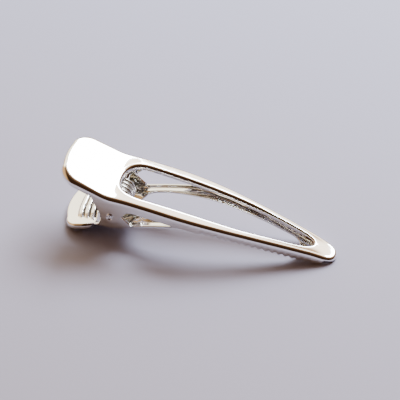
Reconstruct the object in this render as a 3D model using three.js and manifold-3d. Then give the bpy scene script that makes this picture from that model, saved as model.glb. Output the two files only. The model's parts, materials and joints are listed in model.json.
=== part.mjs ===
// Alligator hair clip with an open frame, 60 mm long, in millimetres.
// +X points at the tip, +Z is up, Y runs across the clip. The clip stands on Z = 0 on the
// rear edge of its lower tab and on its tip, and the origin is under the middle of its box.
import * as THREE from 'three';
import { mergeVertices } from 'three/addons/utils/BufferGeometryUtils.js';
import Module from 'manifold-3d';

const wasm = await Module();
wasm.setup();

// Driving dimensions
const LENGTH = 60;
const REAR = -LENGTH / 2;
const TIP = LENGTH / 2;
const HALF_WIDTH = 7.4; // outside of the upper jaw's straight flanges
const SHEET = 0.5; // thickness of both stamped jaws
const REAR_BOW = 0.3; // how far the upper jaw's rear edge bows outwards
const FOOT = 0; // the table's height, which the rim never goes below
const FIT = 0.2; // side play between the upper jaw's ears and the lower jaw's ears

const PIN_X = -18.2;
const PIN_Z = 7.1;
const PIN_RADIUS = 0.6;
const PIN_CLEARANCE = 0.05;
const PIN_HEAD_RADIUS = 0.78;
const PIN_HEAD_HEIGHT = 0.25;
const PIN_HEAD_GAP = 0.05;
const PIN_SIDES = 24;

// Upper jaw, side view
const BEND_X = -19.2; // where the thumb tab bends up from the frame
const BEND_Z = 12.55;
const BEND_REACH = 1.2; // the bend's soft zone, either side of BEND_X
const FRAME_SLOPE = 0.124; // fall of the frame per millimetre just ahead of the bend
const FRAME_ARCH = 0.00227; // the frame falls ever faster towards the tip
const TAB_RISE = 0.335; // extra slope of the tab over the frame
const CROWN = 0.7; // how far the frame's middle would stand above its edges
const CROWN_START = -18.6;
const CROWN_FULL = -14;
const CROWN_END = 24;
const FRAME_FLANGE = 2.5; // depth of the turned-down rim below the top
const TAB_FLANGE = 1.8;
const TONGUE_START = 26.6; // ahead of here the tip is a plain tongue without a rim
const TONGUE_FULL = 27.8;
const WINDOW_FLANGE = 1.2;
const RIM_TEETH_START = 1.4;
const RIM_TEETH_END = 25.2;
const UPPER_EAR_RADIUS = 2.1;
const UPPER_COLUMNS = 12; // facets across the crown

// Lower jaw
const LOWER_REAR = -29.95;
const LOWER_REAR_BOW = 0.9;
const LOWER_TIP = 27.2;
const LOWER_HALF_WIDTH = HALF_WIDTH - SHEET - FIT;
const LOWER_TAB_HALF_WIDTH = 7.2;
const LOWER_TAB_END = -21.6;
const EDGE_ROLL = 0.75; // how far the tab's rolled edge hangs under its sheet
const LIP_START = -20.2;
const ARM_LIP = 0.4; // upturned edges of the arms, toothed on top
const LOWER_EAR_RADIUS = 2;
const LOWER_COLUMNS = 8;
const RIB_COUNT = 4;
const RIB_PITCH = 1.35;
const RIB_FIRST = -27;
const RIB_HEIGHT = 0.4;
const RIB_HALF_LENGTH = 5;
const TOOTH_PITCH = 1.4;
const TOOTH_DEPTH = 0.4;
const TEETH_START = -4.2;
const TEETH_END = 25.2;

// Torsion spring
const WIRE = 0.9;
const COIL_RADIUS = 2.75;
const COIL_TURNS = 4;
const COIL_PITCH = 1.05;
const WIRE_SIDES = 8;
const STEPS_PER_TURN = 14;
const UPPER_LEG_ANGLE = THREE.MathUtils.degToRad(150);
const UPPER_LEG_LENGTH = 8;
const LOWER_LEG_ANGLE = THREE.MathUtils.degToRad(185);
const LOWER_LEG_LENGTH = 6.6;

const CURVE_STEPS = 12;
const FAR = 20; // overshoot of cutting tools

// Colours: one polished plating on every piece, a little darker on the wire
const PLATING = new THREE.MeshStandardMaterial({ color: 0xe4e3df, roughness: 0.14, metalness: 1 });
const PLATED_PIN = new THREE.MeshStandardMaterial({ color: 0xdcd9d4, roughness: 0.2, metalness: 1 });
const SPRING_WIRE = new THREE.MeshStandardMaterial({ color: 0xb9b2a6, roughness: 0.28, metalness: 1 });

// ---- solids and meshes -------------------------------------------------------------------

function solid(geometry) {
  const bare = geometry.index ? geometry.toNonIndexed() : geometry.clone();
  bare.deleteAttribute('normal');
  bare.deleteAttribute('uv');
  const merged = mergeVertices(bare, 1e-5);
  return new wasm.Manifold(new wasm.Mesh({
    numProp: 3,
    vertProperties: Float32Array.from(merged.attributes.position.array),
    triVerts: Uint32Array.from(merged.index.array),
  }));
}

function meshOf(name, manifold, material) {
  const result = manifold.getMesh();
  const geometry = new THREE.BufferGeometry();
  geometry.setAttribute('position', new THREE.BufferAttribute(Float32Array.from(result.vertProperties), 3));
  geometry.setIndex(new THREE.BufferAttribute(Uint32Array.from(result.triVerts), 1));
  geometry.computeVertexNormals();
  const mesh = new THREE.Mesh(geometry, material);
  mesh.name = name;
  return mesh;
}

// A box whose top and bottom follow the heights top(x, y) and bottom(x, y)
function slab(stations, halfWidth, columns, top, bottom) {
  const geometry = new THREE.BoxGeometry(1, 1, 1, stations.length - 1, columns, 1);
  const position = geometry.attributes.position;
  for (let i = 0; i < position.count; i += 1) {
    const station = Math.round((position.getX(i) + 0.5) * (stations.length - 1));
    const x = stations[station];
    const y = position.getY(i) * 2 * halfWidth;
    const height = position.getZ(i) > 0 ? top(x, y) : bottom(x, y);
    position.setXYZ(i, x, y, height);
  }
  return solid(geometry);
}

// An upright prism on a plan outline
function prism(points, low = -FAR, high = 2 * FAR) {
  const geometry = new THREE.ExtrudeGeometry(new THREE.Shape(points), {
    depth: high - low,
    bevelEnabled: false,
  });
  geometry.translate(0, 0, low);
  return solid(geometry);
}

// A plate standing in the XZ plane between two Y planes
function plate(points, nearY, farY) {
  const geometry = new THREE.ExtrudeGeometry(new THREE.Shape(points), {
    depth: farY - nearY,
    bevelEnabled: false,
  });
  geometry.rotateX(Math.PI / 2);
  geometry.translate(0, farY, 0);
  return solid(geometry);
}

function pinHole(radius) {
  const geometry = new THREE.CylinderGeometry(radius, radius, 2 * FAR, PIN_SIDES);
  geometry.translate(PIN_X, 0, PIN_Z);
  return solid(geometry);
}

// ---- small maths -------------------------------------------------------------------------

// 0 before from, 1 after to, and smooth in between
function fade(from, to, x) {
  return THREE.MathUtils.smoothstep(x, from, to);
}

function evenStations(from, to, step) {
  const count = Math.round((to - from) / step);
  return Array.from({ length: count + 1 }, (_, i) => from + ((to - from) * i) / count);
}

// Height or half width of a sampled curve at x
function valueAt(samples, x) {
  const next = samples.findIndex((point) => point.x > x);
  if (next === 0) return samples[0].y;
  if (next < 0) return samples[samples.length - 1].y;
  const a = samples[next - 1];
  const b = samples[next];
  return a.y + ((b.y - a.y) * (x - a.x)) / (b.x - a.x);
}

// Both sides of a half outline that starts and ends on the X axis
function mirrored(half) {
  const inner = half.slice(1, -1);
  const other = inner.map((point) => new THREE.Vector2(point.x, -point.y)).reverse();
  return [...half, ...other];
}

// Moves every side of a clockwise outline outwards by a distance, inwards when it is negative
function offset(points, distance) {
  const count = points.length;
  return points.map((point, i) => {
    const before = points[(i + count - 1) % count];
    const after = points[(i + 1) % count];
    const a = point.clone().sub(before).normalize();
    const b = after.clone().sub(point).normalize();
    const mitre = new THREE.Vector2(-a.y - b.y, a.x + b.x).normalize();
    const reach = distance / Math.max(0.3, mitre.x * -b.y + mitre.y * b.x);
    return new THREE.Vector2(point.x + mitre.x * reach, point.y + mitre.y * reach);
  });
}

// ---- plan outlines, half of each, from the rear to the tip ---------------------------------

function upperHalfOutline() {
  const corner = 4;
  const taperStart = -6;
  const path = new THREE.Path();
  const cornerX = REAR + REAR_BOW + corner;
  const cornerY = HALF_WIDTH - corner;
  path.moveTo(REAR, 0);
  path.quadraticCurveTo(REAR, cornerY / 2, REAR + REAR_BOW, cornerY);
  path.absarc(cornerX, cornerY, corner, Math.PI, Math.PI / 2, true);
  path.lineTo(taperStart, HALF_WIDTH);
  path.bezierCurveTo(4, HALF_WIDTH, 17, 4.75, 27.3, 2.75);
  path.bezierCurveTo(29.2, 2.35, TIP, 1.4, TIP, 0);
  return path.getPoints(CURVE_STEPS);
}

function upperHalfWindow() {
  const path = new THREE.Path();
  path.moveTo(-17.4, 0);
  path.bezierCurveTo(-17.4, 3.2, -15.5, 4.6, -12, 4.6);
  path.lineTo(-4, 4.45);
  path.bezierCurveTo(4, 4.3, 12, 3.9, 20.5, 2.25);
  path.bezierCurveTo(23.2, 1.7, 24.9, 1, 24.9, 0);
  return path.getPoints(CURVE_STEPS);
}

function lowerHalfOutline() {
  const corner = 2.8;
  const tabSide = LOWER_TAB_HALF_WIDTH;
  const neckSide = LOWER_HALF_WIDTH;
  const path = new THREE.Path();
  const cornerX = LOWER_REAR + LOWER_REAR_BOW + corner;
  const cornerY = tabSide - corner;
  path.moveTo(LOWER_REAR, 0);
  path.quadraticCurveTo(LOWER_REAR, cornerY / 2, LOWER_REAR + LOWER_REAR_BOW, cornerY);
  path.absarc(cornerX, cornerY, corner, Math.PI, Math.PI / 2, true);
  path.lineTo(-24.8, tabSide);
  path.bezierCurveTo(-23.6, tabSide, -23.2, neckSide, LOWER_TAB_END, neckSide);
  path.lineTo(-6, neckSide);
  path.bezierCurveTo(4, neckSide, 16, 4.15, 25.2, 2.2);
  path.bezierCurveTo(26.6, 1.9, LOWER_TIP, 1, LOWER_TIP, 0);
  return path.getPoints(CURVE_STEPS);
}

function lowerHalfWindow() {
  const path = new THREE.Path();
  path.moveTo(-14, 0);
  path.bezierCurveTo(-14, 2.8, -13.2, 4.4, -10.5, 4.4);
  path.bezierCurveTo(-6, 4.4, -4, 3.6, 0, 3.4);
  path.bezierCurveTo(8, 3.2, 14, 2.9, 19.5, 2.1);
  path.bezierCurveTo(21.3, 1.8, 21.9, 1.1, 21.9, 0);
  return path.getPoints(CURVE_STEPS);
}

// ---- upper jaw ---------------------------------------------------------------------------

const upperHalf = upperHalfOutline();

function upperTop(x, y) {
  const ahead = Math.max(0, x - BEND_X);
  const frame = BEND_Z - FRAME_SLOPE * (x - BEND_X) - FRAME_ARCH * ahead * ahead;
  const inBend = THREE.MathUtils.clamp(BEND_X + BEND_REACH - x, 0, 2 * BEND_REACH);
  const behindBend = Math.max(0, BEND_X - BEND_REACH - x);
  const tab = TAB_RISE * ((inBend * inBend) / (4 * BEND_REACH) + behindBend);
  const across = Math.min(1, Math.abs(y) / Math.max(1, valueAt(upperHalf, x)));
  const crowned = fade(CROWN_START, CROWN_FULL, x) * (1 - fade(CROWN_END, TIP, x));
  const crown = CROWN * crowned * (1 - across * across);
  return frame + tab + crown;
}

function upperStations() {
  return [
    ...evenStations(REAR - 1, BEND_X - BEND_REACH, 2.6),
    ...evenStations(BEND_X - BEND_REACH + 0.4, BEND_X + BEND_REACH, 0.4),
    ...evenStations(BEND_X + BEND_REACH + 1, RIM_TEETH_START - 1, 1.8),
    ...evenStations(RIM_TEETH_START, RIM_TEETH_END, TOOTH_PITCH / 2),
    ...evenStations(RIM_TEETH_END + 0.7, TIP + 1, 0.7),
  ];
}

// A row of triangular teeth between two stations, 0 at the roots and 1 at the points
function toothWave(x, start, end) {
  if (x <= start || x >= end) return 0;
  const phase = ((x - start) / TOOTH_PITCH) % 1;
  return 1 - Math.abs(2 * phase - 1);
}

// Lower edge of the upper jaw's rim: toothed along the front, gone at the tongue
function rimBottom(x, y) {
  const depth = TAB_FLANGE + (FRAME_FLANGE - TAB_FLANGE) * fade(-22, -16, x);
  const toothed = depth - TOOTH_DEPTH * toothWave(x, RIM_TEETH_START, RIM_TEETH_END);
  const tongue = fade(TONGUE_START, TONGUE_FULL, x);
  const top = upperTop(x, y);
  return Math.max(FOOT, top - toothed + tongue * (toothed - SHEET));
}

// One hinge ear, in side view: a rounded lobe hanging from the flange around the pin
function upperEarOutline() {
  const path = new THREE.Path();
  path.moveTo(-13, 10.6);
  path.lineTo(-22.3, 12.8);
  path.lineTo(PIN_X - UPPER_EAR_RADIUS, PIN_Z);
  path.absarc(PIN_X, PIN_Z, UPPER_EAR_RADIUS, Math.PI, 2 * Math.PI, false);
  path.lineTo(-14.3, 9.1);
  return path.getPoints(CURVE_STEPS);
}

function upperJaw() {
  const outline = mirrored(upperHalf);
  const window = mirrored(upperHalfWindow());
  const stations = upperStations();
  const reach = HALF_WIDTH + 1;
  const block = slab(stations, reach, UPPER_COLUMNS, upperTop, rimBottom);
  const underside = slab(stations, reach, UPPER_COLUMNS, (x, y) => upperTop(x, y) - SHEET, () => -1);
  const rimZone = slab(
    stations, reach, UPPER_COLUMNS,
    (x, y) => upperTop(x, y) + 1,
    (x, y) => upperTop(x, y) - WINDOW_FLANGE,
  );
  const windowRim = rimZone.intersect(prism(offset(window, SHEET)));
  const hollow = underside.intersect(prism(offset(outline, -SHEET))).subtract(windowRim);
  const shell = block.intersect(prism(outline)).subtract(hollow).subtract(prism(window));
  const ears = [-HALF_WIDTH, HALF_WIDTH - SHEET].map((y) => plate(upperEarOutline(), y, y + SHEET));
  const earsUnderSkin = ears.map((ear) => ear.intersect(underside));
  const whole = earsUnderSkin.reduce((jaw, ear) => jaw.add(ear), shell);
  return whole.subtract(pinHole(PIN_RADIUS + PIN_CLEARANCE));
}

// ---- lower jaw ---------------------------------------------------------------------------

// Height of the lower jaw's sheet along the clip: tab, neck, raised middle, tip
const lowerLine = new THREE.SplineCurve([
  new THREE.Vector2(LOWER_REAR - 1, 1.02),
  new THREE.Vector2(-25, 2.6),
  new THREE.Vector2(-21.5, 3.1),
  new THREE.Vector2(-17.5, 3.1),
  new THREE.Vector2(-13.8, 4.2),
  new THREE.Vector2(-9, 5.5),
  new THREE.Vector2(-3.5, 6.6),
  new THREE.Vector2(1.5, 6.8),
  new THREE.Vector2(10.3, 5.2),
  new THREE.Vector2(18.8, 2.62),
  new THREE.Vector2(24.8, 0.95),
  new THREE.Vector2(LOWER_TIP + 1, 0.55),
]).getPoints(180);

// Flat-topped finger ribs across the tab with narrow grooves between them
function rib(x, y) {
  const along = (x - RIB_FIRST) / RIB_PITCH;
  if (along < 0 || along > RIB_COUNT || Math.abs(y) > RIB_HALF_LENGTH) return 0;
  return RIB_HEIGHT * Math.min(1, 2 * Math.sin(Math.PI * along) ** 2);
}

function lowerSheet(x, y) {
  return valueAt(lowerLine, x) + rib(x, y);
}

// Height of the arms' upturned edges over the sheet
function armLip(x) {
  const plain = ARM_LIP * fade(LIP_START, LIP_START + 3, x) * (1 - fade(22, 26, x));
  return plain + TOOTH_DEPTH * toothWave(x, TEETH_START, TEETH_END);
}

function lowerStations() {
  return [
    ...evenStations(LOWER_REAR - 1, RIB_FIRST, 1.2),
    ...evenStations(RIB_FIRST + RIB_PITCH / 4, RIB_FIRST + RIB_COUNT * RIB_PITCH, RIB_PITCH / 4),
    ...evenStations(LIP_START, TEETH_START, 1.2),
    ...evenStations(TEETH_START + TOOTH_PITCH / 2, TEETH_END, TOOTH_PITCH / 2),
    ...evenStations(TEETH_END + 0.9, LOWER_TIP + 1, 0.9),
  ];
}

// One hinge ear, in side view: rises from the neck around the pin and falls to the arm
function lowerEarOutline() {
  const path = new THREE.Path();
  path.moveTo(-21.4, 2.9);
  path.lineTo(-20.4, 5);
  path.lineTo(PIN_X - LOWER_EAR_RADIUS, PIN_Z);
  path.absarc(PIN_X, PIN_Z, LOWER_EAR_RADIUS, Math.PI, 0, true);
  path.lineTo(-13.6, 4.7);
  path.lineTo(-13.8, 3.95);
  path.lineTo(-17, 2.9);
  return path.getPoints(CURVE_STEPS);
}

function lowerJaw() {
  const outline = mirrored(lowerHalfOutline());
  const window = mirrored(lowerHalfWindow());
  const stations = lowerStations();
  const reach = LOWER_TAB_HALF_WIDTH + 1;
  const roll = (x) => EDGE_ROLL * (1 - fade(-23.8, LOWER_TAB_END, x));
  const block = slab(
    stations, reach, LOWER_COLUMNS,
    (x, y) => lowerSheet(x, y) + armLip(x),
    (x, y) => lowerSheet(x, y) - SHEET - roll(x),
  );
  const inset = offset(outline, -SHEET);
  const lippedPart = prism([
    new THREE.Vector2(LIP_START + 0.2, -FAR),
    new THREE.Vector2(LIP_START + 0.2, FAR),
    new THREE.Vector2(2 * FAR, FAR),
    new THREE.Vector2(2 * FAR, -FAR),
  ]);
  const tabPart = prism([
    new THREE.Vector2(-2 * FAR, -FAR),
    new THREE.Vector2(-2 * FAR, FAR),
    new THREE.Vector2(LOWER_TAB_END - 0.2, FAR),
    new THREE.Vector2(LOWER_TAB_END - 0.2, -FAR),
  ]);
  const above = slab(stations, reach, LOWER_COLUMNS, () => FAR, lowerSheet);
  const below = slab(stations, reach, LOWER_COLUMNS, (x, y) => lowerSheet(x, y) - SHEET, () => -FAR);
  const between = prism(inset).subtract(prism(offset(window, SHEET)));
  const insideLip = above.intersect(between).intersect(lippedPart);
  const underTab = below.intersect(prism(inset)).intersect(tabPart);
  const sheet = block.intersect(prism(outline)).subtract(prism(window));
  const shell = sheet.subtract(insideLip).subtract(underTab);
  const ears = [-LOWER_HALF_WIDTH, LOWER_HALF_WIDTH - SHEET].map((y) => plate(lowerEarOutline(), y, y + SHEET));
  const whole = ears.reduce((jaw, ear) => jaw.add(ear), shell);
  return whole.subtract(pinHole(PIN_RADIUS + PIN_CLEARANCE));
}

// ---- hinge pin: a shaft with a peened head at each end ---------------------------------------

function hingePin() {
  const shaftEnd = HALF_WIDTH + PIN_HEAD_GAP;
  const headEnd = shaftEnd + PIN_HEAD_HEIGHT;
  const dome = 0.6 * PIN_HEAD_RADIUS;
  const half = [
    new THREE.Vector2(dome, headEnd),
    new THREE.Vector2(PIN_HEAD_RADIUS, shaftEnd + 0.4 * PIN_HEAD_HEIGHT),
    new THREE.Vector2(PIN_HEAD_RADIUS, shaftEnd),
    new THREE.Vector2(PIN_RADIUS, shaftEnd),
  ];
  const otherHalf = half.map((point) => new THREE.Vector2(point.x, -point.y)).reverse();
  const profile = [new THREE.Vector2(0, headEnd), ...half, ...otherHalf, new THREE.Vector2(0, -headEnd)];
  const geometry = new THREE.LatheGeometry(profile.reverse(), PIN_SIDES);
  geometry.translate(PIN_X, 0, PIN_Z);
  return solid(geometry);
}

// ---- torsion spring: a coil round the pin, one leg under each tab ----------------------------

// A point of the coil at an angle about the pin, measured from +X towards +Z
function coilPoint(angle, y) {
  return new THREE.Vector3(
    PIN_X + COIL_RADIUS * Math.cos(angle),
    y,
    PIN_Z + COIL_RADIUS * Math.sin(angle),
  );
}

function springRoute() {
  const lowerTangent = LOWER_LEG_ANGLE + Math.PI / 2;
  const upperTangent = UPPER_LEG_ANGLE - Math.PI / 2;
  const sweep = 2 * Math.PI * COIL_TURNS + (lowerTangent - upperTangent);
  const steps = Math.round((sweep / (2 * Math.PI)) * STEPS_PER_TURN);
  const width = (COIL_PITCH * sweep) / (2 * Math.PI);
  const coil = Array.from({ length: steps + 1 }, (_, i) => {
    const along = i / steps;
    return coilPoint(upperTangent + along * sweep, width * (along - 0.5));
  });
  const leg = (angle, length, start) => new THREE.Vector3(
    start.x + length * Math.cos(angle),
    start.y,
    start.z + length * Math.sin(angle),
  );
  const first = coil[0];
  const last = coil[coil.length - 1];
  const upperLeg = [1, 0.75, 0.5, 0.25].map((part) => leg(UPPER_LEG_ANGLE, part * UPPER_LEG_LENGTH, first));
  const lowerLeg = [0.25, 0.5, 0.75, 1].map((part) => leg(LOWER_LEG_ANGLE, part * LOWER_LEG_LENGTH, last));
  return [...upperLeg, ...coil, ...lowerLeg];
}

function torsionSpring() {
  const points = springRoute();
  const path = new THREE.CatmullRomCurve3(points);
  const section = Array.from({ length: WIRE_SIDES }, (_, i) => {
    const angle = (2 * Math.PI * i) / WIRE_SIDES;
    return new THREE.Vector2((WIRE / 2) * Math.cos(angle), (WIRE / 2) * Math.sin(angle));
  });
  const geometry = new THREE.ExtrudeGeometry(new THREE.Shape(section), {
    extrudePath: path,
    steps: points.length,
    bevelEnabled: false,
  });
  return solid(geometry);
}

// ---- the clip ------------------------------------------------------------------------------

const clip = new THREE.Group();
clip.add(
  meshOf('upper_jaw', upperJaw(), PLATING),
  meshOf('lower_jaw', lowerJaw(), PLATING),
  meshOf('hinge_pin', hingePin(), PLATED_PIN),
  meshOf('torsion_spring', torsionSpring(), SPRING_WIRE),
);

export default clip;
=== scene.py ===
"""Looks for the open-frame alligator hair clip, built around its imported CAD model.

Lengths in this script are millimetres in the model's own frame, and the mesh builder turns
them into metres. +X points at the tip, +Y is the far side, +Z is up.
"""
import json
import math

import bpy
import numpy as np
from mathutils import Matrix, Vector


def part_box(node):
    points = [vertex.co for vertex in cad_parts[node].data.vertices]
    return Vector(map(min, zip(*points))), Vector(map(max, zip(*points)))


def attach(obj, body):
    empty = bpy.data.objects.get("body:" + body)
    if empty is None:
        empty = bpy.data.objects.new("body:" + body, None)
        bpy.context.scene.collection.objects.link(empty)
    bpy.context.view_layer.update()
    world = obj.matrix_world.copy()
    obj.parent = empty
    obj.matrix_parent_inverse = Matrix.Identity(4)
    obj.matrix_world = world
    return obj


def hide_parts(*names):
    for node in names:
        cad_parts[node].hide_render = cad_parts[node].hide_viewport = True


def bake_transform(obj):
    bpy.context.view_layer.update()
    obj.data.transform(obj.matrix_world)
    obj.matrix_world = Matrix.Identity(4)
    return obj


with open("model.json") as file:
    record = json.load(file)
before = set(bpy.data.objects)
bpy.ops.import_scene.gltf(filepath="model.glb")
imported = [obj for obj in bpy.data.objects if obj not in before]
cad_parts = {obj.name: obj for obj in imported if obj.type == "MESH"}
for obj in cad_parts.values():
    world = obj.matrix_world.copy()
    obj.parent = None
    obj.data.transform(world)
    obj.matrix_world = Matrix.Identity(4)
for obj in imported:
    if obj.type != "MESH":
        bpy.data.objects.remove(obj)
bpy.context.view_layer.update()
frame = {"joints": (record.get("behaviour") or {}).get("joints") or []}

MM = 0.001

# ---- driving sizes, read from the frame where it has them ------------------------------------

upper_low, upper_high = [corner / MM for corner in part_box("upper_jaw")]
lower_low, lower_high = [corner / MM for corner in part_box("lower_jaw")]
pin_low, pin_high = [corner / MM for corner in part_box("hinge_pin")]
hinge = frame["joints"][0]

REAR = upper_low.x
TIP = upper_high.x
HALF_WIDTH = upper_high.y
PIN_X = hinge["pos_m"][0] / MM
PIN_Z = hinge["pos_m"][2] / MM
PIN_END = pin_high.y
LOWER_REAR = lower_low.x
LOWER_TIP = lower_high.x
LOWER_TAB_HALF_WIDTH = lower_high.y

SHEET = 0.5
EAR_PLAY = 0.2
LOWER_HALF_WIDTH = HALF_WIDTH - SHEET - EAR_PLAY
REAR_BOW = 0.3
LOWER_REAR_BOW = 0.9

# Upper jaw, side view, as in the CAD part
BEND_X = -19.2  # the crease between the thumb tab and the frame
BEND_Z = 12.55
BEND_REACH = 1.2
FRAME_SLOPE = 0.124
FRAME_ARCH = 0.00227
TAB_RISE = 0.335
CROWN = 0.7  # how far the frame's middle stands above its edges
CROWN_START = -18.6
CROWN_FULL = -14.0
CROWN_END = 24.0
FRAME_FLANGE = 2.45
TAB_FLANGE = 1.75
TONGUE_START = 26.6
TONGUE_FULL = 27.8
WINDOW_FLANGE = 1.15
RIM_TEETH_START = 1.4
RIM_TEETH_END = 25.2
FOOT = 0.12  # the lowest that the rim reaches
EAR_RADIUS = 2.05
LOWER_EAR_RADIUS = 1.88
UPPER_EAR_START = -22.9
UPPER_EAR_END = -13.0

# Lower jaw
EDGE_ROLL = 0.6
ARM_LIP = 0.36
RIB_FIRST = -27.0
RIB_PITCH = 1.35
RIB_COUNT = 4
RIB_HEIGHT = 0.4
RIB_HALF_LENGTH = 5.0
RIB_BOW = 0.6  # how far a rib's ends lie ahead of its middle
GROOVE_DEPTH = 0.22  # how far the grooves between the ribs sink below the sheet
GROOVE_DARK = 0.035  # half width of a groove's painted shade, as a share of the ribbed stretch
GROOVE_FADE = 0.06  # half width where the painted shade has gone
TOOTH_PITCH = 1.4
TOOTH_DEPTH = 0.4
TEETH_START = -4.2
TEETH_END = 25.2
TOOTH_CRIMP = 0.16
ARM_START = -13.0
LOWER_EAR_START = -21.2

OUTER_BEND = 0.95  # outside bend radius of the upper jaw's rim
TAB_BEND = 1.3  # the same round the thumb tab's rear
WINDOW_BEND = 0.85  # the same round the window, shrinking to FRONT_BEND where the arms are narrow
FRONT_BEND = 0.45
SMALL_BEND = 0.6  # the same round the lower tab
INNER_BEND = 0.3  # inside bend radius where an edge turns up
EDGE_ROUND = 0.1  # how far a tumbled cut edge bulges
MIN_EDGE = 0.08  # the least height of any bent edge
BEND_SHARE = 0.85  # how much of a shallow edge's height its bend takes

# Spring
WIRE = 0.9
COIL_RADIUS = 2.75
COIL_TURNS = 4
COIL_PITCH = 1.05
UPPER_LEG_ANGLE = math.radians(150)
UPPER_LEG_LENGTH = 8.0
LOWER_LEG_ANGLE = math.radians(185)
LOWER_LEG_LENGTH = 6.6
WIRE_END = [(0.06, 0.95), (0.16, 0.7), (0.22, 0.25)]  # distance past the wire's end, share of its radius


# ---- small maths -------------------------------------------------------------------------------

def fade(start, end, x):
    """0 before start, 1 after end, and smooth in between; works on arrays."""
    t = np.clip((x - start) / (end - start), 0.0, 1.0)
    return t * t * (3.0 - 2.0 * t)


def line(a, b, n=2):
    t = np.linspace(0.0, 1.0, n)[:, None]
    return np.array(a, float) * (1 - t) + np.array(b, float) * t


def bezier(a, b, c, d, n=60):
    t = np.linspace(0.0, 1.0, n)[:, None]
    a, b, c, d = (np.array(p, float) for p in (a, b, c, d))
    return a * (1 - t) ** 3 + 3 * b * t * (1 - t) ** 2 + 3 * c * t * t * (1 - t) + d * t ** 3


def arc(cx, cy, radius, start, end, n=60):
    angle = np.linspace(start, end, n)
    return np.stack([cx + radius * np.cos(angle), cy + radius * np.sin(angle)], axis=1)


def joined(*pieces):
    """One polyline from several, with doubled points dropped."""
    points = np.concatenate(pieces)
    step = np.linalg.norm(np.diff(points, axis=0), axis=1)
    return points[np.concatenate([[True], step > 1e-6])]


def resampled(points, n):
    """n points spread evenly along a polyline."""
    length = np.concatenate([[0.0], np.cumsum(np.linalg.norm(np.diff(points, axis=0), axis=1))])
    even = np.linspace(0.0, length[-1], n)
    return np.stack([np.interp(even, length, points[:, k]) for k in range(points.shape[1])], axis=1)


def split_at(points, x):
    """The parts of a rising half outline before and after x."""
    y = np.interp(x, points[:, 0], points[:, 1])
    before = points[points[:, 0] < x]
    after = points[points[:, 0] > x]
    return np.vstack([before, [x, y]]), np.vstack([[x, y], after])


def full_loop(half):
    """A closed loop from a half outline that starts and ends on the X axis."""
    other = half[1:-1][::-1] * np.array([1.0, -1.0])
    return np.concatenate([half, other])


def outward_normals(loop):
    """Unit normals of a clockwise loop, pointing out of it."""
    tangent = np.roll(loop, -1, axis=0) - np.roll(loop, 1, axis=0)
    tangent /= np.linalg.norm(tangent, axis=1)[:, None]
    return np.stack([-tangent[:, 1], tangent[:, 0]], axis=1)


# ---- plan outlines -----------------------------------------------------------------------------

def rear_corner(rear, side, corner, bow):
    """Half of a bowed rear edge and the round corner after it."""
    corner_x = rear + bow + corner
    corner_y = side - corner
    rise = (rear, corner_y / 3), (rear + bow / 3, corner_y * 2 / 3)
    edge = bezier((rear, 0), *rise, (rear + bow, corner_y))
    return joined(edge, arc(corner_x, corner_y, corner, math.pi, math.pi / 2))


def upper_half_outline():
    taper_start = -6.0
    return joined(
        rear_corner(REAR, HALF_WIDTH, 4.0, REAR_BOW),
        [(taper_start, HALF_WIDTH)],
        bezier((taper_start, HALF_WIDTH), (4, HALF_WIDTH), (17, 4.75), (27.3, 2.75), 160),
        bezier((27.3, 2.75), (29.2, 2.35), (TIP, 1.4), (TIP, 0)),
    )


def upper_half_window():
    return joined(
        bezier((-17.4, 0), (-17.4, 3.2), (-15.5, 4.6), (-12, 4.6)),
        [(-4, 4.45)],
        bezier((-4, 4.45), (4, 4.3), (12, 3.9), (20.5, 2.25), 160),
        bezier((20.5, 2.25), (23.2, 1.7), (24.9, 1), (24.9, 0)),
    )


def lower_half_outline():
    side = LOWER_TAB_HALF_WIDTH
    neck = LOWER_HALF_WIDTH
    return joined(
        rear_corner(LOWER_REAR, side, 2.8, LOWER_REAR_BOW),
        [(-24.8, side)],
        bezier((-24.8, side), (-23.6, side), (-23.2, neck), (-21.6, neck)),
        [(-6, neck)],
        bezier((-6, neck), (4, neck), (16, 4.15), (25.2, 2.2), 160),
        bezier((25.2, 2.2), (26.6, 1.9), (LOWER_TIP, 1), (LOWER_TIP, 0)),
    )


def lower_half_window():
    return joined(
        bezier((-14, 0), (-14, 2.8), (-13.2, 4.4), (-10.5, 4.4)),
        bezier((-10.5, 4.4), (-6, 4.4), (-4, 3.6), (0, 3.4), 100),
        bezier((0, 3.4), (8, 3.3), (14, 3.15), (19.5, 2.4), 140),
        bezier((19.5, 2.4), (21.3, 2.1), (21.9, 1.2), (21.9, 0)),
    )


# ---- heights -----------------------------------------------------------------------------------

upper_half = upper_half_outline()


def upper_height(x, y):
    """Top of the upper jaw: plane thumb tab, bend, then an arched and crowned frame."""
    ahead = np.maximum(0.0, x - BEND_X)
    frame_line = BEND_Z - FRAME_SLOPE * (x - BEND_X) - FRAME_ARCH * ahead ** 2
    in_bend = np.clip(BEND_X + BEND_REACH - x, 0.0, 2 * BEND_REACH)
    behind_bend = np.maximum(0.0, BEND_X - BEND_REACH - x)
    tab = TAB_RISE * (in_bend ** 2 / (4 * BEND_REACH) + behind_bend)
    half_width = np.maximum(1.0, np.interp(x, upper_half[:, 0], upper_half[:, 1]))
    across = np.minimum(1.0, np.abs(y) / half_width)
    crowned = fade(CROWN_START, CROWN_FULL, x) * (1 - fade(CROWN_END, TIP, x))
    return frame_line + tab + CROWN * crowned * (1 - across ** 2)


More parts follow.
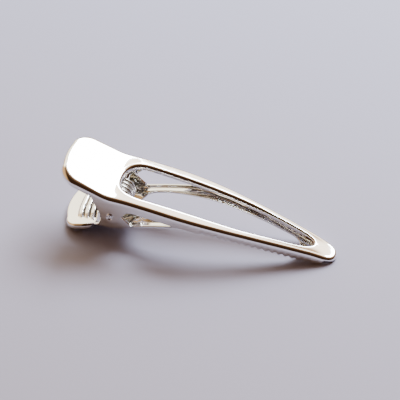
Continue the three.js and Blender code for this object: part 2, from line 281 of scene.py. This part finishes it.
def spline(points, samples=400):
    """A smooth curve through points, evenly parametrised, as the CAD part draws it."""
    points = [np.array(p, float) for p in points]
    out = []
    for t in np.linspace(0, len(points) - 1, samples):
        i = min(int(t), len(points) - 2)
        w = t - i
        p0, p1 = points[max(i - 1, 0)], points[i]
        p2, p3 = points[i + 1], points[min(i + 2, len(points) - 1)]
        v0, v1 = (p2 - p0) / 2, (p3 - p1) / 2
        cubic = (2 * p1 - 2 * p2 + v0 + v1) * w ** 3 + (-3 * p1 + 3 * p2 - 2 * v0 - v1) * w ** 2
        out.append(cubic + v0 * w + p1)
    return np.array(out)


lower_line = spline([
    (LOWER_REAR - 1, 1.02), (-25, 2.6), (-21.5, 3.1), (-17.5, 3.1), (-13.8, 4.2), (-9, 5.5),
    (-3.5, 6.6), (1.5, 6.8), (10.3, 5.2), (18.8, 2.62), (24.8, 0.95), (LOWER_TIP + 1, 0.55),
])


def tooth_wave(x, start, end):
    """A row of triangular teeth along x, 0 at the roots and 1 at the points."""
    phase = ((x - start) / TOOTH_PITCH) % 1.0
    return np.where((x > start) & (x < end), 1.0 - np.abs(2.0 * phase - 1.0), 0.0)


def lower_base_height(x, y):
    """The lower jaw's sheet without its ribs and teeth."""
    return np.interp(x, lower_line[:, 0], lower_line[:, 1]) + 0.0 * y


def lower_height(x, y):
    """Top of the lower jaw's sheet, with flat-topped ribs and narrow grooves across its tab."""
    bowed = x - RIB_BOW * (y / RIB_HALF_LENGTH) ** 2
    along = (bowed - RIB_FIRST) / RIB_PITCH
    ribbed = (along > 0) & (along < RIB_COUNT)
    ends = 1 - fade(RIB_HALF_LENGTH - 2.0, RIB_HALF_LENGTH + 0.6, np.abs(y))
    crest = fade(0.0, 0.3, np.sin(math.pi * along) ** 2)
    between_ribs = (along > 0.5) & (along < RIB_COUNT - 0.5)
    sunk = np.where(between_ribs, GROOVE_DEPTH * (1 - crest), 0.0)
    return lower_base_height(x, y) + np.where(ribbed, (RIB_HEIGHT * crest - sunk) * ends, 0.0)


def arm_lip(x):
    """How far the arms' upturned edges stand over the sheet, with the teeth on top."""
    plain = ARM_LIP * fade(-20.2, -17.2, x) * (1 - fade(22.0, 26.0, x))
    return plain + TOOTH_DEPTH * tooth_wave(x, TEETH_START, TEETH_END)


# ---- pressed sheet -----------------------------------------------------------------------------

def mesh_object(name, verts, faces):
    mesh = bpy.data.meshes.new(name)
    mesh.from_pydata([tuple(v) for v in np.asarray(verts) * MM], [], [tuple(f) for f in faces])
    mesh.validate()
    mesh.update()
    piece = bpy.data.objects.new(name, mesh)
    bpy.context.scene.collection.objects.link(piece)
    return piece


def bend_rows(base, normals, height, radius, ends, sign, rows_bend=7, rows_wall=9, crimp=0.0):
    """Rows from the flat sheet's edge round a bend and along the wall to its end points.

    base is the plan loop where the bend starts, ends the (x, z) that each wall reaches, and
    sign is +1 where the wall turns up and -1 where it turns down, for each station. crimp is
    how far the wall's end is pressed in.
    """
    start_z = height(base[:, 0], base[:, 1])
    depth = np.maximum(MIN_EDGE, np.abs(ends[:, 1] - start_z))
    end_z = start_z + sign * depth
    top_angle = np.arccos(np.clip(1 - BEND_SHARE * depth / radius, 0.0, 1.0))
    rows = []
    for i in range(1, rows_bend + 1):
        angle = top_angle * i / rows_bend
        plan = base + normals * (radius * np.sin(angle))[:, None]
        rows.append(np.column_stack([plan, start_z + sign * radius * (1 - np.cos(angle))]))
    last = rows[-1]
    for i in range(1, rows_wall + 1):
        t = i / rows_wall
        wall = last.copy()
        wall[:, 0] = last[:, 0] + (ends[:, 0] - base[:, 0]) * t
        wall[:, 2] = last[:, 2] + (end_z - last[:, 2]) * t
        wall[:, :2] = wall[:, :2] - normals * np.reshape(crimp * t ** 3, (-1, 1))
        rows.append(wall)
    return rows


def grid_normals(grid):
    """Unit normals of a rows x stations grid of points, closed along its stations."""
    along = np.roll(grid, -1, axis=1) - np.roll(grid, 1, axis=1)
    across = np.gradient(grid, axis=0)
    normals = np.cross(across, along)
    return normals / np.linalg.norm(normals, axis=2)[:, :, None]


def rim_rows(top, bottom, beyond):
    """Rows that round a cut edge between the sheet's two faces. beyond points out of the sheet."""
    steps = [(0.1, 0.6), (0.25, 0.9), (0.5, 1.0), (0.75, 0.9), (0.9, 0.6)]
    return [top + (bottom - top) * depth + beyond * (EDGE_ROUND * reach) for depth, reach in steps]


def unit(vectors):
    return vectors / np.linalg.norm(vectors, axis=-1)[..., None]


def sheet_grid(outer, window, height, curl, outer_edge, window_edge, rows_face):
    """The sheet's upper face as rows of stations, from its outer cut edge to its window's."""
    outer_base, outer_rows = outer_edge(outer, outward_normals(outer), height)
    window_base, window_rows = window_edge(window, outward_normals(window), height)
    face_rows = []
    for i in range(rows_face + 1):
        plan = outer_base + (window_base - outer_base) * (i / rows_face)
        raised = height(plan[:, 0], plan[:, 1]) + curl(plan[:, 0], i / rows_face)
        face_rows.append(np.column_stack([plan, raised]))
    return np.array(outer_rows[::-1] + face_rows + window_rows)


def pressed_sheet(name, outer, window, heights, curl, outer_edge, window_edge, rows_face):
    """A sheet of even thickness between two loops, with a bent edge along both.

    heights holds the real shape and the one without its ribs. The thickness is measured square
    to the second, as ribs are pressed through the sheet.
    """
    top = sheet_grid(outer, window, heights[0], curl, outer_edge, window_edge, rows_face)
    plain = sheet_grid(outer, window, heights[1], curl, outer_edge, window_edge, rows_face)
    bottom = top - grid_normals(plain) * SHEET
    outer_rim = rim_rows(top[0], bottom[0], unit(plain[0] - plain[1]))
    window_rim = rim_rows(top[-1], bottom[-1], unit(plain[-1] - plain[-2]))
    ring = list(top) + window_rim + list(bottom[::-1]) + outer_rim[::-1]
    count = top.shape[1]
    faces = []
    for r in range(len(ring)):
        q = (r + 1) % len(ring)
        for i in range(count):
            j = (i + 1) % count
            faces.append((r * count + i, q * count + i, q * count + j, r * count + j))
    piece = mesh_object(name, np.concatenate(ring), faces)
    piece.data.shade_smooth()
    return piece


def station_loop(half, cuts, counts):
    """A full loop whose half outline is cut at each x and resampled, section by section."""
    sections = []
    rest = half
    for x in cuts:
        before, rest = split_at(rest, x)
        sections.append(before)
    sections.append(rest)
    return full_loop(joined(*[resampled(s, n) for s, n in zip(sections, counts)]))


# ---- upper jaw ---------------------------------------------------------------------------------

def along_line(x, start, stop, route):
    """Points at even shares of a route for stations spread from start to stop."""
    length = np.concatenate([[0.0], np.cumsum(np.linalg.norm(np.diff(route, axis=0), axis=1))])
    share = np.clip((x - start) / (stop - start), 0, 1) * length[-1]
    return np.stack([np.interp(share, length, route[:, k]) for k in (0, 1)], axis=1)


def rim_depth(x):
    """Depth of the upper jaw's outer rim: plain at the tab, toothed in front, none at the tip."""
    depth = TAB_FLANGE + (FRAME_FLANGE - TAB_FLANGE) * fade(-22.0, -16.0, x)
    depth = depth - TOOTH_DEPTH * tooth_wave(x, RIM_TEETH_START, RIM_TEETH_END)
    return depth + (SHEET - depth) * fade(TONGUE_START, TONGUE_FULL, x)


def upper_wall_ends(loop, base, height):
    """Where the upper jaw's outer flange ends: the rim's edge, and an ear round the pin."""
    x = base[:, 0]
    rim = height(loop[:, 0], loop[:, 1]) - rim_depth(loop[:, 0])
    ends = np.stack([x, np.maximum(FOOT, rim)], axis=1)
    start, stop = UPPER_EAR_START, UPPER_EAR_END
    side = height(np.array([start, stop]), np.array([HALF_WIDTH, HALF_WIDTH]))
    side = side - rim_depth(np.array([start, stop]))
    ear_line = joined(
        [(start, side[0]), (-22.1, side[0] - 0.5), (-21.7, 10.6)],
        arc(PIN_X, PIN_Z, EAR_RADIUS, math.radians(178), math.radians(362), 40),
        [(-14.5, 9.0), (-13.9, side[1] - 0.05), (stop, side[1])],
    )
    ear = (x > start) & (x < stop) & (np.abs(base[:, 1]) > HALF_WIDTH - 2)
    ends[ear] = along_line(x[ear], start, stop, ear_line)
    return ends


def upper_outer_edge(loop, normals, height):
    radius = OUTER_BEND + (TAB_BEND - OUTER_BEND) * (1 - fade(-27.5, -20.0, loop[:, 0]))
    base = loop - normals * radius[:, None]
    ends = upper_wall_ends(loop, base, height)
    crimp = TOOTH_CRIMP * tooth_wave(loop[:, 0], RIM_TEETH_START, RIM_TEETH_END)
    return base, bend_rows(base, normals, height, radius, ends, -1, rows_wall=14, crimp=crimp)


def no_curl(x, across):
    return 0.0 * x


def upper_window_edge(loop, normals, height):
    radius = WINDOW_BEND + (FRONT_BEND - WINDOW_BEND) * fade(8.0, 18.0, loop[:, 0])
    base = loop + normals * radius[:, None]
    ends = np.stack([base[:, 0], height(base[:, 0], base[:, 1]) - WINDOW_FLANGE], axis=1)
    return base, bend_rows(base, -normals, height, radius, ends, -1, rows_wall=4)


def build_upper_jaw():
    counts = (120, 280, 60)
    outer = station_loop(upper_half, (-11.5, 24.0), counts)
    window = station_loop(upper_half_window(), (-13.0, 22.0), counts)
    return pressed_sheet(
        "upper_jaw_pressed", outer, window, (upper_height, upper_height), no_curl,
        upper_outer_edge, upper_window_edge, rows_face=34,
    )


# ---- lower jaw ---------------------------------------------------------------------------------

def lower_outer_edge(loop, normals, height):
    """Rolled down round the tab, up into the ears, and up as the arms' outer lips."""
    x_out = loop[:, 0]
    up = fade(-22.6, -21.4, x_out)
    inset = SHEET * up
    radius = SMALL_BEND + (INNER_BEND - SMALL_BEND) * up
    base = loop - normals * (inset + radius)[:, None]
    sheet_z = height(loop[:, 0], loop[:, 1])
    roll = (SHEET + EDGE_ROLL) * (1 - fade(-23.6, -22.0, x_out))
    lip = fade(-22.0, -20.6, x_out) * np.maximum(arm_lip(x_out), 0.4 * (1 - fade(22.0, 26.0, x_out)))
    ends = np.stack([base[:, 0], sheet_z - roll + lip], axis=1)
    start, stop = LOWER_EAR_START, ARM_START
    side = height(np.array([start, stop]), np.array([LOWER_HALF_WIDTH, LOWER_HALF_WIDTH]))
    ear_line = joined(
        [(start, side[0] + 0.3), (-20.5, 5.0)],
        arc(PIN_X, PIN_Z, LOWER_EAR_RADIUS, math.radians(180), 0.0, 40),
        [(-13.95, side[1] + 0.3), (stop, side[1] + ARM_LIP)],
    )
    ear = (x_out > start) & (x_out < stop) & (np.abs(loop[:, 1]) > LOWER_HALF_WIDTH - 1)
    ends[ear] = along_line(x_out[ear], start, stop, ear_line)
    sign = np.where(ends[:, 1] > height(base[:, 0], base[:, 1]), 1.0, -1.0)
    return base, bend_rows(base, normals, height, radius, ends, sign, rows_wall=14)


def lower_window_edge(loop, normals, height):
    return loop, []


def arm_curl(x, across):
    """The arms' inner edges curl up in a soft trough; across runs from 0 outside to 1 inside."""
    along = fade(-17.0, -12.0, x) * (1 - fade(4.0, 14.0, x))
    return 2 * ARM_LIP * along * fade(0.45, 1.15, across)


def build_lower_jaw():
    counts = (170, 230, 30)
    outer = station_loop(lower_half_outline(), (ARM_START + 1.5, 22.5), counts)
    window = station_loop(lower_half_window(), (-11.5, 21.0), counts)
    return pressed_sheet(
        "lower_jaw_pressed", outer, window, (lower_height, lower_base_height), arm_curl,
        lower_outer_edge, lower_window_edge, rows_face=80,
    )


# ---- pin and spring ----------------------------------------------------------------------------

def build_pin():
    """A turned pin with a peened, slightly dished head at each end."""
    shaft, head = 0.6, 0.78
    face = PIN_END - 0.25
    half = [
        (0.0, PIN_END - 0.02), (0.24, PIN_END - 0.03), (0.42, PIN_END - 0.24), (0.48, PIN_END - 0.24),
        (0.67, PIN_END - 0.02), (0.71, PIN_END), (0.75, PIN_END - 0.03),
        (head, PIN_END - 0.1), (head, face), (shaft, face),
    ]
    profile = half + [(r, -y) for r, y in half[::-1]]
    sides = 48
    verts = []
    for r, y in profile[1:-1]:
        for k in range(sides):
            angle = 2 * math.pi * k / sides
            verts.append((PIN_X + r * math.cos(angle), y, PIN_Z + r * math.sin(angle)))
    rings = len(profile) - 2
    faces = []
    for ring in range(rings - 1):
        for k in range(sides):
            j = (k + 1) % sides
            faces.append((ring * sides + k, ring * sides + j, (ring + 1) * sides + j, (ring + 1) * sides + k))
    verts += [(PIN_X, profile[0][1], PIN_Z), (PIN_X, profile[-1][1], PIN_Z)]
    far, near = len(verts) - 2, len(verts) - 1
    for k in range(sides):
        j = (k + 1) % sides
        faces.append((far, j, k))
        faces.append((near, (rings - 1) * sides + k, (rings - 1) * sides + j))
    pin = mesh_object("hinge_pin_turned", verts, faces)
    pin.data.shade_smooth()
    return pin


def spring_route():
    lower_tangent = LOWER_LEG_ANGLE + math.pi / 2
    upper_tangent = UPPER_LEG_ANGLE - math.pi / 2
    sweep = 2 * math.pi * COIL_TURNS + lower_tangent - upper_tangent
    width = COIL_PITCH * sweep / (2 * math.pi)
    t = np.linspace(0, 1, 260)
    angle = upper_tangent + t * sweep
    coil = np.stack([
        PIN_X + COIL_RADIUS * np.cos(angle), width * (t - 0.5), PIN_Z + COIL_RADIUS * np.sin(angle),
    ], axis=1)
    upper = np.array([math.cos(UPPER_LEG_ANGLE), 0, math.sin(UPPER_LEG_ANGLE)]) * UPPER_LEG_LENGTH
    lower = np.array([math.cos(LOWER_LEG_ANGLE), 0, math.sin(LOWER_LEG_ANGLE)]) * LOWER_LEG_LENGTH
    first = line(coil[0] + upper, coil[0], 16)
    last = line(coil[-1], coil[-1] + lower, 16)
    return joined(first, coil, last)


def build_spring():
    """A round wire swept along the coil and its legs, with rounded cut ends."""
    route = spring_route()
    tangent = np.gradient(route, axis=0)
    tangent /= np.linalg.norm(tangent, axis=1)[:, None]
    sides = 16
    across = np.array([0.0, 1.0, 0.0])
    rings = [(route[0] - tangent[0] * past, tangent[0], share) for past, share in WIRE_END[::-1]]
    rings += [(point, direction, 1.0) for point, direction in zip(route, tangent)]
    rings += [(route[-1] + tangent[-1] * past, tangent[-1], share) for past, share in WIRE_END]
    verts = []
    for point, direction, r in rings:
        side = across - direction * np.dot(across, direction)
        side /= np.linalg.norm(side)
        up = np.cross(direction, side)
        for k in range(sides):
            angle = 2 * math.pi * k / sides
            verts.append(point + (side * math.cos(angle) + up * math.sin(angle)) * (r * WIRE / 2))
    faces = []
    for ring in range(len(rings) - 1):
        for k in range(sides):
            j = (k + 1) % sides
            faces.append((ring * sides + k, ring * sides + j, (ring + 1) * sides + j, (ring + 1) * sides + k))
    faces.append(tuple(range(sides))[::-1])
    faces.append(tuple((len(rings) - 1) * sides + k for k in range(sides)))
    spring = mesh_object("torsion_spring_wound", verts, faces)
    spring.data.shade_smooth()
    return spring


# ---- materials ---------------------------------------------------------------------------------

def node_tree(name):
    material = bpy.data.materials.new(name)
    material.use_nodes = True
    tree = material.node_tree
    shader = tree.nodes["Principled BSDF"]
    coordinates = tree.nodes.new("ShaderNodeTexCoord")
    return material, tree, shader, coordinates


def noise(tree, vector, scale, detail=4.0, stretch=None):
    """A noise texture in object space, optionally stretched along one axis."""
    if stretch:
        mapping = tree.nodes.new("ShaderNodeMapping")
        mapping.inputs["Scale"].default_value = stretch
        tree.links.new(vector, mapping.inputs["Vector"])
        vector = mapping.outputs["Vector"]
    texture = tree.nodes.new("ShaderNodeTexNoise")
    texture.inputs["Scale"].default_value = scale
    texture.inputs["Detail"].default_value = detail
    tree.links.new(vector, texture.inputs["Vector"])
    return texture.outputs["Fac"]


def ramp(tree, value, stops):
    node = tree.nodes.new("ShaderNodeValToRGB")
    elements = node.color_ramp.elements
    while len(elements) < len(stops):
        elements.new(0.5)
    for element, (position, colour) in zip(elements, stops):
        element.position = position
        element.color = (*colour, 1.0) if len(colour) == 3 else (*colour * 3, 1.0)
    tree.links.new(value, node.inputs["Fac"])
    return node.outputs["Color"]


def mixed(tree, blend, a, b):
    """Two colours put together by one blend mode at full strength."""
    node = tree.nodes.new("ShaderNodeMix")
    node.data_type = "RGBA"
    node.blend_type = blend
    node.inputs["Factor"].default_value = 1.0
    tree.links.new(a, node.inputs["A"])
    tree.links.new(b, node.inputs["B"])
    return node.outputs["Result"]


def maths(tree, operation, a, b):
    """One maths node; each input is a number or a socket."""
    node = tree.nodes.new("ShaderNodeMath")
    node.operation = operation
    for value, socket in zip((a, b), node.inputs):
        if isinstance(value, float):
            socket.default_value = value
        else:
            tree.links.new(value, socket)
    return node.outputs["Value"]


def bump(tree, shader, heights, strength, distance):
    """Adds several heights into one bump."""
    normal = None
    for value, share in heights:
        node = tree.nodes.new("ShaderNodeBump")
        node.inputs["Strength"].default_value = strength * share
        node.inputs["Distance"].default_value = distance
        tree.links.new(value, node.inputs["Height"])
        if normal is not None:
            tree.links.new(normal, node.inputs["Normal"])
        normal = node.outputs["Normal"]
    tree.links.new(normal, shader.inputs["Normal"])


def plated_metal(name, light, dark, smooth_roughness, rough_roughness):
    """Bright plating: almost a mirror, with faint haze, waviness from the press and hairlines."""
    material, tree, shader, coordinates = node_tree(name)
    place = coordinates.outputs["Object"]
    shader.inputs["Metallic"].default_value = 1.0
    haze = noise(tree, place, 140.0, 3.0)
    tree.links.new(ramp(tree, haze, [(0.35, light), (0.7, dark)]), shader.inputs["Base Color"])
    film = noise(tree, place, 420.0, 5.0)
    roughness = ramp(tree, film, [(0.35, (smooth_roughness,)), (0.75, (rough_roughness,))])
    tree.links.new(roughness, shader.inputs["Roughness"])
    waves = noise(tree, place, 90.0, 1.0)
    hairlines = noise(tree, place, 900.0, 2.0, stretch=(0.12, 1.0, 1.0))
    bump(tree, shader, [(waves, 1.0), (hairlines, 0.12)], 0.25, 0.00012)
    return material


def painted_groove_shade(tree, place):
    """White, but with painted shade darkening the grooves between the lower tab's ribs."""
    split = tree.nodes.new("ShaderNodeSeparateXYZ")
    tree.links.new(place, split.inputs["Vector"])
    across = maths(tree, "DIVIDE", split.outputs["Y"], RIB_HALF_LENGTH * MM)
    squared = maths(tree, "MULTIPLY", across, across)
    bowed = maths(tree, "SUBTRACT", split.outputs["X"], maths(tree, "MULTIPLY", squared, RIB_BOW * MM))
    along = maths(tree, "DIVIDE", maths(tree, "SUBTRACT", bowed, RIB_FIRST * MM), RIB_COUNT * RIB_PITCH * MM)
    # painted shade: the grooves are coloured near black, standing in for the dark reflections there
    unshaded_white, dark = (1.0,) * 3, (0.03, 0.022, 0.016)
    stops = []
    for k in range(1, RIB_COUNT):
        middle = k / RIB_COUNT
        stops += [(middle - GROOVE_FADE, unshaded_white), (middle - GROOVE_DARK, dark)]
        stops += [(middle + GROOVE_DARK, dark), (middle + GROOVE_FADE, unshaded_white)]
    lines = ramp(tree, along, stops)
    ends = ramp(tree, squared, [(0.75, (0.0,)), (1.0, (1.0,))])
    return mixed(tree, "LIGHTEN", lines, ends)


def ribbed_plating():
    """The same plating, with painted shade darkening the pressed grooves."""
    material = plated_metal("ribbed_plating", (0.93, 0.925, 0.9), (0.9, 0.885, 0.85), 0.05, 0.11)
    tree = material.node_tree
    shader = tree.nodes["Principled BSDF"]
    base = shader.inputs["Base Color"]
    plain = base.links[0].from_socket
    place = tree.nodes.new("ShaderNodeTexCoord").outputs["Object"]
    tree.links.new(mixed(tree, "MULTIPLY", plain, painted_groove_shade(tree, place)), base)
    return material


def spring_wire():
    """Drawn wire: slightly duller than the plating, with fine lines round its bends."""
    material, tree, shader, coordinates = node_tree("spring_wire")
    place = coordinates.outputs["Object"]
    shader.inputs["Metallic"].default_value = 1.0
    tone = noise(tree, place, 700.0, 3.0)
    colours = [(0.3, (0.72, 0.7, 0.66)), (0.7, (0.6, 0.57, 0.52))]
    tree.links.new(ramp(tree, tone, colours), shader.inputs["Base Color"])
    tree.links.new(ramp(tree, tone, [(0.3, (0.2,)), (0.7, (0.34,))]), shader.inputs["Roughness"])
    bump(tree, shader, [(noise(tree, place, 1800.0, 2.0, stretch=(1.0, 6.0, 1.0)), 1.0)], 0.2, 0.00003)
    return material


def table_top():
    """A pale lavender table, with painted light falloff making it a little pinker and darker towards the
    viewer.
    """
    material, tree, shader, coordinates = node_tree("table_top")
    place = coordinates.outputs["Object"]
    split = tree.nodes.new("ShaderNodeSeparateXYZ")
    tree.links.new(place, split.inputs["Vector"])
    away = tree.nodes.new("ShaderNodeMapRange")
    away.inputs["From Min"].default_value = -0.07
    away.inputs["From Max"].default_value = 0.1
    tree.links.new(split.outputs["Y"], away.inputs["Value"])
    # painted light falloff: the colour darkens and turns pinker towards the viewer
    colours = [(0.0, (0.30, 0.272, 0.33)), (0.5, (0.342, 0.318, 0.4)), (1.0, (0.372, 0.368, 0.478))]
    tone = ramp(tree, away.outputs["Result"], colours)
    tree.links.new(tone, shader.inputs["Base Color"])
    grain = noise(tree, place, 900.0, 4.0)
    bump(tree, shader, [(grain, 1.0)], 0.15, 0.0001)
    shader.inputs["Roughness"].default_value = 0.65
    shader.inputs["Specular IOR Level"].default_value = 0.2
    return material


def paint(piece, material):
    piece.data.materials.clear()
    piece.data.materials.append(material)


# ---- stage, light and camera -------------------------------------------------------------------

def build_floor():
    size = 900.0
    verts = [(-size, -size, 0), (size, -size, 0), (size, size, 0), (-size, size, 0)]
    floor = mesh_object("floor", verts, [(0, 1, 2, 3)])
    paint(floor, table_top())


def area_light(name, position, target, size, power, colour):
    data = bpy.data.lights.new(name, "AREA")
    data.shape = "RECTANGLE"
    data.size = size[0] * MM
    data.size_y = size[1] * MM
    data.energy = power
    data.color = colour
    light = bpy.data.objects.new(name, data)
    bpy.context.scene.collection.objects.link(light)
    light.location = Vector(position) * MM
    aim = Vector(target) * MM - light.location
    light.rotation_euler = aim.to_track_quat("-Z", "Y").to_euler()


def direction(azimuth, elevation):
    """A unit vector; azimuth 0 is +Y and turns towards +X."""
    a, e = math.radians(azimuth), math.radians(elevation)
    return Vector((math.sin(a) * math.cos(e), math.cos(a) * math.cos(e), math.sin(e)))


WINDOW_DIRECTION = direction(14, 44)
SIDE_WINDOW_DIRECTION = direction(-39, 29)


def build_lights():
    """The bright middle of the window: it throws the shadow towards the viewer."""
    area_light("window_light", WINDOW_DIRECTION * 620.0, (0, 0, 6), (430, 240), 12.6, (0.77, 0.875, 1.0))


def glow(tree, view, centre, stops):
    """A colour that depends on how close the view is to a centre; 1 is the centre itself."""
    closeness = tree.nodes.new("ShaderNodeVectorMath")
    closeness.operation = "DOT_PRODUCT"
    tree.links.new(view, closeness.inputs[0])
    closeness.inputs[1].default_value = centre
    return ramp(tree, closeness.outputs["Value"], stops)


def build_world():
    """A white window glow behind the clip, a creamy one to the left, and a dark warm room."""
    world = bpy.data.worlds.new("room")
    bpy.context.scene.world = world
    world.use_nodes = True
    tree = world.node_tree
    background = tree.nodes["Background"]
    view = tree.nodes.new("ShaderNodeTexCoord").outputs["Generated"]
    window = glow(tree, view, WINDOW_DIRECTION, [
        (0.0, (0.008, 0.0035, 0.0015)), (0.35, (0.01, 0.0045, 0.002)), (0.6, (0.03, 0.015, 0.007)),
        (0.8, (0.08, 0.045, 0.025)), (0.87, (0.26, 0.17, 0.1)), (0.92, (0.82, 0.7, 0.56)),
    ])
    side_window = glow(tree, view, SIDE_WINDOW_DIRECTION, [
        (0.86, (0.0, 0.0, 0.0)), (0.92, (0.14, 0.125, 0.08)), (0.96, (0.6, 0.58, 0.47)),
    ])
    split = tree.nodes.new("ShaderNodeSeparateXYZ")
    tree.links.new(view, split.inputs["Vector"])
    leftwards = maths(tree, "MULTIPLY", split.outputs["X"], -1.0)
    walls = ramp(tree, leftwards, [(0.45, (0.0, 0.0, 0.0)), (0.8, (0.2, 0.12, 0.055))])
    room = mixed(tree, "ADD", mixed(tree, "ADD", window, side_window), walls)
    tree.links.new(room, background.inputs["Color"])
    background.inputs["Strength"].default_value = 5.0


def build_camera():
    azimuth, elevation, distance = 15.0, 45.0, 400.0
    frame_width = 86.4
    data = bpy.data.cameras.new("camera")
    data.sensor_width = 36.0
    data.lens = data.sensor_width * distance / frame_width
    data.clip_start = 0.01
    camera = bpy.data.objects.new("camera", data)
    bpy.context.scene.collection.objects.link(camera)
    target = Vector((-1.2, 3.59, 6.0))
    a, e = math.radians(azimuth), math.radians(elevation)
    back = Vector((math.sin(a) * math.cos(e), -math.cos(a) * math.cos(e), math.sin(e)))
    camera.location = (target + back * distance) * MM
    camera.rotation_euler = back.to_track_quat("Z", "Y").to_euler()
    bpy.context.scene.camera = camera


# ---- assembly ----------------------------------------------------------------------------------

plating = plated_metal("bright_plating", (0.93, 0.925, 0.915), (0.9, 0.885, 0.865), 0.05, 0.11)
pin_plating = plated_metal("pin_plating", (0.9, 0.89, 0.875), (0.84, 0.82, 0.8), 0.1, 0.2)

upper_jaw = build_upper_jaw()
paint(upper_jaw, plating)
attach(upper_jaw, "upper_half")
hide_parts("upper_jaw")

lower_jaw = build_lower_jaw()
paint(lower_jaw, ribbed_plating())
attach(lower_jaw, "lower_half")
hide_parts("lower_jaw")

pin = build_pin()
paint(pin, pin_plating)
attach(pin, "lower_half")
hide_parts("hinge_pin")

spring = build_spring()
paint(spring, spring_wire())
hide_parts("torsion_spring")
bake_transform(spring)

build_floor()
build_lights()
build_world()
build_camera()
